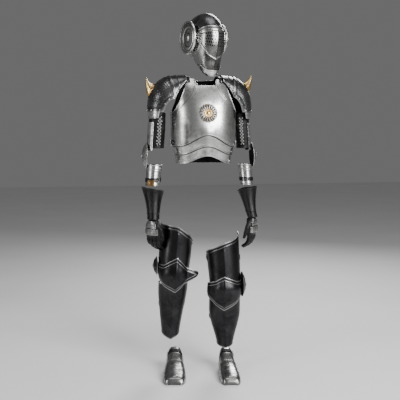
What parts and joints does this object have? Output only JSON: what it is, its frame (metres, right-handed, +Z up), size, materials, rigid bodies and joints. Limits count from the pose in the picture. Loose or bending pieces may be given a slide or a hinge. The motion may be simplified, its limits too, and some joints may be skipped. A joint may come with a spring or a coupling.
{
  "type": "suit of plate armour",
  "caption": "Full worn suit of plate armour: closed helmet with lifting visor, breastplate, horned shoulders, arm and leg plates, leather gloves.",
  "frame": {"origin": "middle of the shoulder line, where the wearer carries the suit", "axes": "+Z up, the suit faces -Y, +X is the wearer's left"},
  "size_m": [0.6241, 0.4211, 1.8692],
  "materials": {
    "bright_steel": "brushed antique silver with dark patina in the hollows",
    "dark_steel": "dark gunmetal with rubbed bright edges",
    "gilt": "aged gilt",
    "black_leather": "black, slightly glossy"
  },
  "bodies": {
    "suit": {"breastplate": "bright_steel", "lame_front_upper": "bright_steel", "lame_front_lower": "bright_steel", "backplate": "bright_steel", "lame_back_upper": "bright_steel", "lame_back_lower": "bright_steel", "chest_badge": "gilt", "helmet_skull": "bright_steel", "helmet_brow_band": "bright_steel", "helmet_lower_face": "bright_steel", "helmet_chin_plate": "bright_steel", "helmet_neck_guard": "bright_steel", "helmet_ear_disc_right": "bright_steel", "helmet_ear_disc_left": "bright_steel", "shoulder_strap_right": "black_leather", "shoulder_strap_left": "black_leather", "side_strap_right": "black_leather", "side_strap_left": "black_leather", "cuisse_right": "dark_steel", "poleyn_right": "dark_steel", "greave_right": "dark_steel", "poleyn_wing_right": "dark_steel", "thigh_strap_right": "black_leather", "calf_strap_right": "black_leather", "sabaton_right": "bright_steel", "sabaton_ankle_right": "bright_steel", "cuisse_left": "dark_steel", "poleyn_left": "dark_steel", "greave_left": "dark_steel", "poleyn_wing_left": "dark_steel", "thigh_strap_left": "black_leather", "calf_strap_left": "black_leather", "sabaton_left": "bright_steel", "sabaton_ankle_left": "bright_steel", "pauldron_right": "dark_steel", "pauldron_neck_lame_right": "dark_steel", "pauldron_lower_lame_right": "bright_steel", "horn_right": "gilt", "arm_sleeve_right": "black_leather", "rerebrace_right": "bright_steel", "couter_right": "bright_steel", "vambrace_right": "bright_steel", "glove_cuff_right": "black_leather", "glove_hand_right": "black_leather", "hand_plate_right": "bright_steel", "knuckle_plate_right": "bright_steel", "pauldron_left": "dark_steel", "pauldron_neck_lame_left": "dark_steel", "pauldron_lower_lame_left": "bright_steel", "horn_left": "gilt", "arm_sleeve_left": "black_leather", "rerebrace_left": "bright_steel", "couter_left": "bright_steel", "vambrace_left": "bright_steel", "glove_cuff_left": "black_leather", "glove_hand_left": "black_leather", "hand_plate_left": "bright_steel", "knuckle_plate_left": "bright_steel"},
    "visor": {"helmet_visor": "bright_steel"}
  },
  "joints": [
    {"name": "visor_lift", "type": "hinge", "parent": "suit", "child": "visor", "pos_m": [0.002, 0, 0.245], "axis": [-0.9563, -0.2924, 0], "range_deg": [0, 50]}
  ]
}
